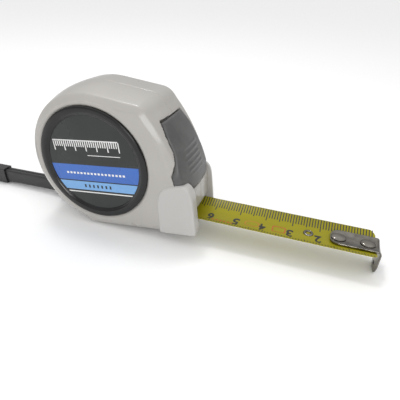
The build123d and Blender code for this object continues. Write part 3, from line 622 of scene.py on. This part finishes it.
def loop_marks(cm, half_long, half_wide, power, number, stroke=0.34, y=-1.9):
    """Printed outline: a rounded rectangle or oval |a/l|^p + |b/w|^p = 1, drawn as a band."""
    angle = np.linspace(0, math.tau, 49)
    cosine, sine = np.cos(angle), np.sin(angle)
    radius = (np.abs(cosine) ** power + np.abs(sine) ** power) ** (-1 / power)
    grow = np.array((-0.5, 0.5))[:, None] * stroke
    x = HOOK_X - 10 * cm + radius * cosine * (half_long + grow)
    y = y + radius * sine * (half_wide + grow)
    return on_blade(x, y, BLADE_THICKNESS + PRINT_LIFT), number, None


def numeral(text, cm):
    """Flat centimetre figure, turned half round, laid on the curl just past its mark."""
    curve = bpy.data.curves.new("figure", "FONT")
    curve.body = text
    curve.align_x = "CENTER"
    curve.offset = 0.03
    holder = bpy.data.objects.new("figure", curve)
    flat = bpy.data.meshes.new_from_object(holder)
    place = np.empty(len(flat.vertices) * 3)
    flat.vertices.foreach_get("co", place)
    place = place.reshape(-1, 3)[:, :2]
    place -= (place.max(0) + place.min(0)) / 2
    place *= FIGURE_SIZE / np.ptp(place, axis=0)
    faces = [tuple(p.vertices) for p in flat.polygons]
    bpy.data.objects.remove(holder)
    bpy.data.curves.remove(curve)
    bpy.data.meshes.remove(flat)
    return on_blade(HOOK_X - 10 * cm - 0.5 - place[:, 0], FIGURE_Y - place[:, 1],
                    BLADE_THICKNESS + PRINT_LIFT), faces


lacquer = finish("blade_lacquer", (0.265, 0.235, 0.006), (0.325, 0.29, 0.009), 0.34, grain=90.0,
                 spread=0.04, bump=0.03, fine=2200.0, stretch=(0.3, 1, 1), shine=0.2)
ink = finish("blade_ink", (0.012, 0.012, 0.010), (0.024, 0.023, 0.020), 0.42, grain=700.0, bump=0.02)
orange_ink = finish("blade_orange_ink", (0.42, 0.15, 0.010), (0.50, 0.19, 0.012), 0.42, grain=500.0,
                    bump=0.02)
red_ink = finish("blade_red_ink", (0.42, 0.045, 0.010), (0.50, 0.06, 0.012), 0.42, grain=500.0,
                 bump=0.02)
red_step = np.array((5.15, 5.3, 5.45, 5.6, 5.75, 5.9))
red_marks = marks(HOOK_X - 10 * red_step, -4.5, -5.5, 0.8, 3)
blade = build("tape_blade", blade_strip() + [far_marks, near_marks, red_marks,
                                             loop_marks(4.45, 2.6, 1.75, 2.6, 2),
                                             loop_marks(3.45, 2.3, 1.9, 8.0, 3)],
              [lacquer, ink, orange_ink, red_ink], "blade", 40, weld=2e-7)
extra = bmesh.new()
extra.from_mesh(blade.data)
for figure_cm in range(2, 7):
    figure_points, figure_faces = numeral(str(figure_cm), figure_cm)
    corner = [extra.verts.new(p) for p in figure_points]
    for figure_face in figure_faces:
        new_face = extra.faces.new([corner[k] for k in figure_face])
        new_face.material_index = 1
        new_face.normal_update()
        if new_face.normal.z < 0:
            new_face.normal_flip()
extra.to_mesh(blade.data)
extra.free()
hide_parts("blade")
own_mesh(blade)

# ---------------------------------------------------------------- hook
# Nickel plated steel, folded over the end of the blade: a plate that follows the curl, a rounded
# bend and a tapered leg with a nail hole. It floats on two big domed rivets.
# The nickel's colour is painted dark, much darker than bare nickel: a painted dark reflection of dim
# surroundings on the hook, rivets and eyelet. Its bright streaks come from the lamps and the bump.
nickel_painted_dark_reflection = finish("hook_nickel_painted_dark_reflection", (0.13, 0.12, 0.107), (0.25, 0.235, 0.21), 0.14, metal=1.0, grain=330.0,
                spread=0.06, bump=0.5, fine=560.0)
PLATE_LONG, PLATE_HALF, TIP_HALF = 16.4, 4.3, 3.1
SHEET = 0.62
PLATE_GAP = 0.3
PLATE_MID = BLADE_Z + BLADE_THICKNESS + PLATE_GAP + SHEET / 2
BEND = 0.85
LEG_CURL = 0.3


def hook_sheet():
    """Middle of the sheet: rows along plate, bend and leg, columns across. The plate's rear end
    is rounded, the leg narrows to its tip, and all of it is curled like the blade, the leg less."""
    leg_x = HOOK_X + SHEET / 2
    plate = np.linspace(0, PLATE_LONG - BEND + SHEET / 2, 26)
    turn = np.linspace(0, math.pi / 2, 9)[1:]
    leg = np.linspace(PLATE_MID - BEND, 0.0, 14)[1:]
    x = np.r_[HOOK_X - PLATE_LONG + plate, leg_x - BEND + BEND * np.sin(turn), np.full(len(leg), leg_x)]
    z = np.r_[np.full(len(plate), PLATE_MID), PLATE_MID - BEND + BEND * np.cos(turn), leg]
    nose_round = np.clip(1 - plate / 3.4, 0, 1)
    half = np.r_[PLATE_HALF - 2.6 * (1 - np.sqrt(1 - nose_round**2)), np.full(len(turn), PLATE_HALF),
                 np.interp(leg, (0.0, 0.35, 3.4), (TIP_HALF - 0.5, TIP_HALF, PLATE_HALF))]
    q = np.linspace(-1, 1, 25)[None]
    y = half[:, None] * q
    lift = CURL_RADIUS - np.sqrt(CURL_RADIUS**2 - y**2)
    slope = np.r_[np.zeros(len(plate)), turn, np.full(len(leg), math.pi / 2)][:, None]
    return 0.001 * np.stack([x[:, None] + lift * np.sin(slope) * LEG_CURL, y,
                             z[:, None] + lift * np.cos(slope)], -1)


def fold_modifiers(piece, thickness, edge, hole=None):
    """Gives a sheet its thickness about its middle, punches it and rounds its edges, then fixes
    the result."""
    wall = piece.modifiers.new("wall", "SOLIDIFY")
    wall.thickness, wall.offset = thickness, 0.0
    if hole:
        punched = piece.modifiers.new("punched", "BOOLEAN")
        punched.operation, punched.object = "DIFFERENCE", hole
    soft = piece.modifiers.new("soft", "BEVEL")
    soft.width, soft.segments = edge, 2
    soft.limit_method, soft.angle_limit = "ANGLE", math.radians(50)
    shaped = bpy.data.meshes.new_from_object(piece.evaluated_get(bpy.context.evaluated_depsgraph_get()))
    piece.modifiers.clear()
    piece.data = shaped


hook = build("end_hook", [(hook_sheet(), 0, None)], [nickel_painted_dark_reflection], "hook", 60, ("hook",))
HOLE_RADIUS, HOLE_HEIGHT = 0.0008, 0.0024
punch_place = Matrix.Translation((0.001 * HOOK_X, 0, HOLE_HEIGHT)) @ Matrix.Rotation(math.pi / 2, 4, "Y")
punch_mesh = bpy.data.meshes.new("punch")
punch_work = bmesh.new()
bmesh.ops.create_cone(punch_work, cap_ends=True, segments=40, radius1=HOLE_RADIUS, radius2=HOLE_RADIUS,
                      depth=0.006, matrix=punch_place)
punch_work.to_mesh(punch_mesh)
punch_work.free()
punch = bpy.data.objects.new("punch", punch_mesh)
bpy.context.scene.collection.objects.link(punch)
fold_modifiers(hook, 0.001 * SHEET, 0.00012, hole=punch)
bpy.data.objects.remove(punch)


def dome(name, profile, back, stretch, replaces=()):
    """Round nickel piece on the blade, back from the hook: a row per radius and height over the
    blade, stretched along X."""
    profile = np.array(profile, float)
    angle = np.linspace(0, math.tau, 49)
    radius, height = profile[:, 0, None], profile[:, 1, None]
    points = np.stack(np.broadcast_arrays(HOOK_X - back + stretch * radius * np.cos(angle),
                                          radius * np.sin(angle), BLADE_Z + height), -1)
    return build(name, [(0.001 * points, 0, None)], [nickel_painted_dark_reflection], "blade", 45, replaces)


RIVET = [(0, -0.55), (1.9, -0.5), (2.1, -0.25), (1.2, 0.0), (1.15, 1.15), (2.15, 1.3), (2.2, 1.42),
         (2.1, 1.6), (1.75, 1.82), (1.2, 1.96), (0.6, 2.02), (0, 2.03)]
EYELET = [(0.85, -0.4), (1.5, -0.38), (1.6, -0.1), (0.95, 0.1), (0.9, 0.45), (1.0, 0.62), (1.25, 0.72),
          (1.6, 0.66), (1.8, 0.5), (1.85, 0.34), (1.3, 0.3), (0.85, 0.3), (0.8, 0.0), (0.85, -0.4)]
dome("rivet_rear", RIVET, 13.6, 1.22)
dome("rivet_front", RIVET, 3.6, 1.22, ("hook_rivets",))
dome("strip_eyelet", EYELET, 24.0, 1.0, ("blade_eyelet",))

# ---------------------------------------------------------------- wrist strap
# Flat black nylon strap, on its edge on the table: a doubled tab round the lug's pin, a black
# clamp, and the hand loop, which leaves the clamp and comes back into it.
strap_points = [(-0.10188, 0.0016, 0.00386), (-0.11788, 0.0008, 0.00377), (-0.13588, -0.0023, 0.00368),
                (-0.15788, -0.0071, 0.00356), (-0.18188, -0.0110, 0.00344), (-0.20688, -0.0110, 0.00331),
                (-0.22488, -0.0035, 0.00321), (-0.23038, 0.0090, 0.00318), (-0.22088, 0.0205, 0.00323),
                (-0.19888, 0.0250, 0.00335), (-0.17488, 0.0215, 0.00347), (-0.15288, 0.0143, 0.00359),
                (-0.13388, 0.0078, 0.00369), (-0.11788, 0.0046, 0.00377), (-0.10188, 0.0034, 0.00386)]
STRAP_WIDE, STRAP_THICK = 0.0060, 0.0016
TAB_WIDE = 0.00596
route = bpy.data.curves.new("strap_route", "CURVE")
route.dimensions = "3D"
spline = route.splines.new("NURBS")
spline.points.add(len(strap_points) - 1)
spline.points.foreach_set("co", np.column_stack([strap_points, np.ones(len(strap_points))]).ravel())
spline.order_u = 3
spline.use_endpoint_u = True
spline.resolution_u = 16
route_holder = bpy.data.objects.new("strap_route", route)
route_mesh = bpy.data.meshes.new_from_object(route_holder)
strap_line = np.empty(len(route_mesh.vertices) * 3)
route_mesh.vertices.foreach_get("co", strap_line)
strap_line = strap_line.reshape(-1, 3)
bpy.data.objects.remove(route_holder)
bpy.data.meshes.remove(route_mesh)

webbing = finish("strap_webbing", (0.014, 0.014, 0.015), (0.026, 0.026, 0.027), 0.34, grain=900.0,
                 bump=0.3, fine=2600.0, stretch=(0.35, 0.35, 1.6))


def strap_section():
    """Strap's section, closed, as shares of its half thickness and half width: two flat sides
    joined by three points at each edge, which break its corners."""
    side = np.linspace(-0.86, 0.86, 9)
    edge = np.linspace(0.55, -0.55, 3)
    thick = np.r_[np.ones(9), edge, -np.ones(9), -edge, 1.0]
    wide = np.r_[side, np.ones(3), side[::-1], -np.ones(3), side[0]]
    return thick, wide


def flat_band(line, wide, thick, up=(0, 0, 1)):
    """Strap along a line: at each point the section stands across the run, its width upright."""
    along = np.gradient(line, axis=0)
    along /= np.linalg.norm(along, axis=1)[:, None]
    across = np.cross(along, up)
    across /= np.linalg.norm(across, axis=1)[:, None]
    rise = np.cross(across, along)
    share_thick, share_wide = strap_section()
    skin = (line[:, None] + 0.5 * thick * share_thick[None, :, None] * across[:, None]
            + 0.5 * wide * share_wide[None, :, None] * rise[:, None])
    caps = [np.stack([np.broadcast_to(skin[k].mean(0), skin[k].shape), skin[k]]) for k in (0, -1)]
    return [(skin, 0, None)] + [(cap, 0, None) for cap in caps]


# The tab runs back from the pin, sinking a little: an eye round the pin, then two layers that lie
# against each other up to the clamp. Lengths in mm.
TAB_DROP = math.radians(1.5)
TAB_BACK = np.array((-math.cos(TAB_DROP), 0.0, -math.sin(TAB_DROP)))
TAB_Y, PIN_TO_EXIT = 2.5, 39.0
EYE_RADIUS, LAYER_HALF = 2.33, 0.88
layer = np.linspace(8.5, 36.5, 30)
pin_place = 1000 * np.array(strap_points[0]) * (1, 0, 1) + (0, TAB_Y, 0) - PIN_TO_EXIT * TAB_BACK
eye_angle = np.radians(np.linspace(80, -80, 40))
tab_along = np.r_[layer[::-1], -EYE_RADIUS * np.cos(eye_angle), layer]
tab_aside = np.r_[np.full(30, LAYER_HALF), EYE_RADIUS * np.sin(eye_angle), np.full(30, -LAYER_HALF)]
tab_line = 0.001 * (pin_place + tab_along[:, None] * TAB_BACK + tab_aside[:, None] * ACROSS)
tab_skin = flat_band(tab_line, TAB_WIDE, STRAP_THICK, up=(math.sin(TAB_DROP), 0, -math.cos(TAB_DROP)))
strap_tab = build("strap_doubled", tab_skin, [webbing], "case", 50, ("strap_tab",))
strap_skin = flat_band(strap_line, STRAP_WIDE, STRAP_THICK)
strap = build("wrist_loop", strap_skin, [webbing], "case", 50, ("strap_loop",))

# ---------------------------------------------------------------- clip side
# Four cross-head screws sunk in collars of the case, a black disc in the middle, and a sprung
# steel belt clip bent from one strip and held by one screw at its top.
bright_steel = finish("clip_steel", (0.42, 0.42, 0.43), (0.55, 0.55, 0.56), 0.27, metal=1.0, grain=420.0,
                      bump=0.08, fine=3000.0, stretch=(1, 1, 0.06))
zinc = finish("screw_zinc", (0.38, 0.38, 0.39), (0.5, 0.5, 0.5), 0.33, metal=1.0, grain=700.0, bump=0.12)


CROSS_DEEP, CROSS_HALF, CROSS_REACH = 0.55, 0.30, 0.62
DOME_FALL = 0.3


def screw(u, v, head, top, low, turn):
    """Head of a cross-head screw: a low dome of revolution, pushed in along two lines at right
    angles, out to a share of its radius; the rim drops straight to its seat."""
    radius = head * np.r_[np.linspace(0, 0.9, 26), 0.96, 1.0, 1.0][:, None]
    angle = np.linspace(0, math.tau, 97)[None]
    reach = np.repeat(top - DOME_FALL * (radius / head) ** 4, angle.size, axis=1)
    reach[-1] = low
    near_line = radius * np.minimum(np.abs(np.cos(angle + turn)), np.abs(np.sin(angle + turn)))
    groove = np.clip((CROSS_HALF - near_line) / 0.1, 0, 1)
    groove = groove * np.clip((CROSS_REACH * head - radius) / 0.12, 0, 1)
    reach[:-1] -= CROSS_DEEP * groove[:-1]
    return on_case(u + radius * np.cos(angle), v + radius * np.sin(angle), reach), 0, None


case_heads = [screw(u, v, head=1.95, top=10.35, low=9.3, turn=0.4 + k)
              for k, (u, v) in enumerate(SCREWS)]
build("case_screw_heads", case_heads, [zinc], "case", 40, ("case_screws",))
COLLAR = [(2.1, 9.2), (2.1, 10.5), (2.2, 10.66), (2.45, 10.66), (2.6, 10.5), (2.6, 9.2), (2.1, 9.2)]
collars = [(lathe(COLLAR, u, v, 1, 96), 0, None) for u, v in SCREWS]
build("screw_collars", collars, [abs_grey], "case", 45)
BACK_DISC = [(0, 10.5), (16.6, 10.5), (16.8, 10.3), (17.1, 10.3), (17.3, 10.5), (18.3, 10.6),
             (18.6, 10.45), (18.6, 9.85), (0, 9.85)]
build("clip_side_disc", [(lathe(BACK_DISC, 0, 0, 1), 0, None)], [gloss_black], "case",
      45, ("back_disc",))
# The clip's side view as (y, v), its bends softened, and its half width along it.
CLIP_PATH = np.array([(11.0, 14.5), (11.0, 3.5), (13.2, 0.5), (13.2, -14.0), (12.3, -18.0),
                      (13.2, -21.5)])
CLIP_HALF, CLIP_CORNER = 5.5, 3.0
clip_run = np.r_[0, np.cumsum(np.hypot(*np.diff(CLIP_PATH, axis=0).T))]
clip_at = np.linspace(0, clip_run[-1], 110)
clip_line = np.stack([np.interp(clip_at, clip_run, CLIP_PATH[:, k]) for k in (0, 1)], -1)
for _ in range(6):
    clip_line[1:-1] = (clip_line[:-2] + 2 * clip_line[1:-1] + clip_line[2:]) / 4
clip_end = np.clip(1 - np.minimum(clip_at, clip_run[-1] - clip_at) / CLIP_CORNER, 0, 1)
clip_half = CLIP_HALF - CLIP_CORNER * (1 - np.sqrt(1 - clip_end**2))
clip_points = on_case(clip_half[:, None] * np.linspace(-1, 1, 25), clip_line[:, 1:], clip_line[:, :1])
clip = build("spring_clip", [(clip_points, 0, None)], [bright_steel], "case", 60,
             ("belt_clip",))
fold_modifiers(clip, 0.0008, 0.00015)
clip_head = screw(0.0, 9.0, head=2.4, top=12.55, low=11.35, turn=0.2)
build("clip_screw_head", [clip_head], [zinc], "case", 40, ("clip_screw",))

# ---------------------------------------------------------------- pieces kept as they are
# Lug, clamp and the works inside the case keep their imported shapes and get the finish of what
# they are made of: black nylon, zinc plated steel, acetal and blued spring steel.
black_nylon = finish("lug_nylon", (0.014, 0.014, 0.015), (0.024, 0.024, 0.025), 0.38, grain=300.0,
                     bump=0.15)
acetal = finish("reel_acetal", (0.07, 0.07, 0.075), (0.10, 0.10, 0.105), 0.48, grain=300.0, bump=0.1)
blued = finish("spring_blued", (0.07, 0.08, 0.10), (0.11, 0.12, 0.15), 0.30, metal=1.0, grain=400.0,
               bump=0.06)
kept = {"spring_post": zinc, "button_spring": blued, "power_spring": blued, "reel_drum": acetal,
        "drum_cover": acetal, "brake_lever": acetal, "brake_shoe": rubber, "blade_coil": lacquer,
        "blade_lead_in": lacquer, "strap_lug": black_nylon, "strap_pin": zinc,
        "strap_clamp": black_nylon}
for node_name, node_finish in kept.items():
    node_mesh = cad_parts[node_name].data
    node_mesh.materials.clear()
    node_mesh.materials.append(node_finish)

# ---------------------------------------------------------------- button hinge
# Steel pin inside the nose that the thumb button turns about, shorter than the button is wide.
HINGE_U, HINGE_V = 28, 12.5
HINGE = [(0, -6.4), (0.7, -6.4), (0.8, -6.3), (0.8, 6.3), (0.7, 6.4), (0, 6.4)]
hinge_skin = lathe(HINGE, HINGE_U, HINGE_V, 1, 32)
build("button_hinge", [(hinge_skin, 0, None)], [zinc], "case", 45, ("button_pin",))
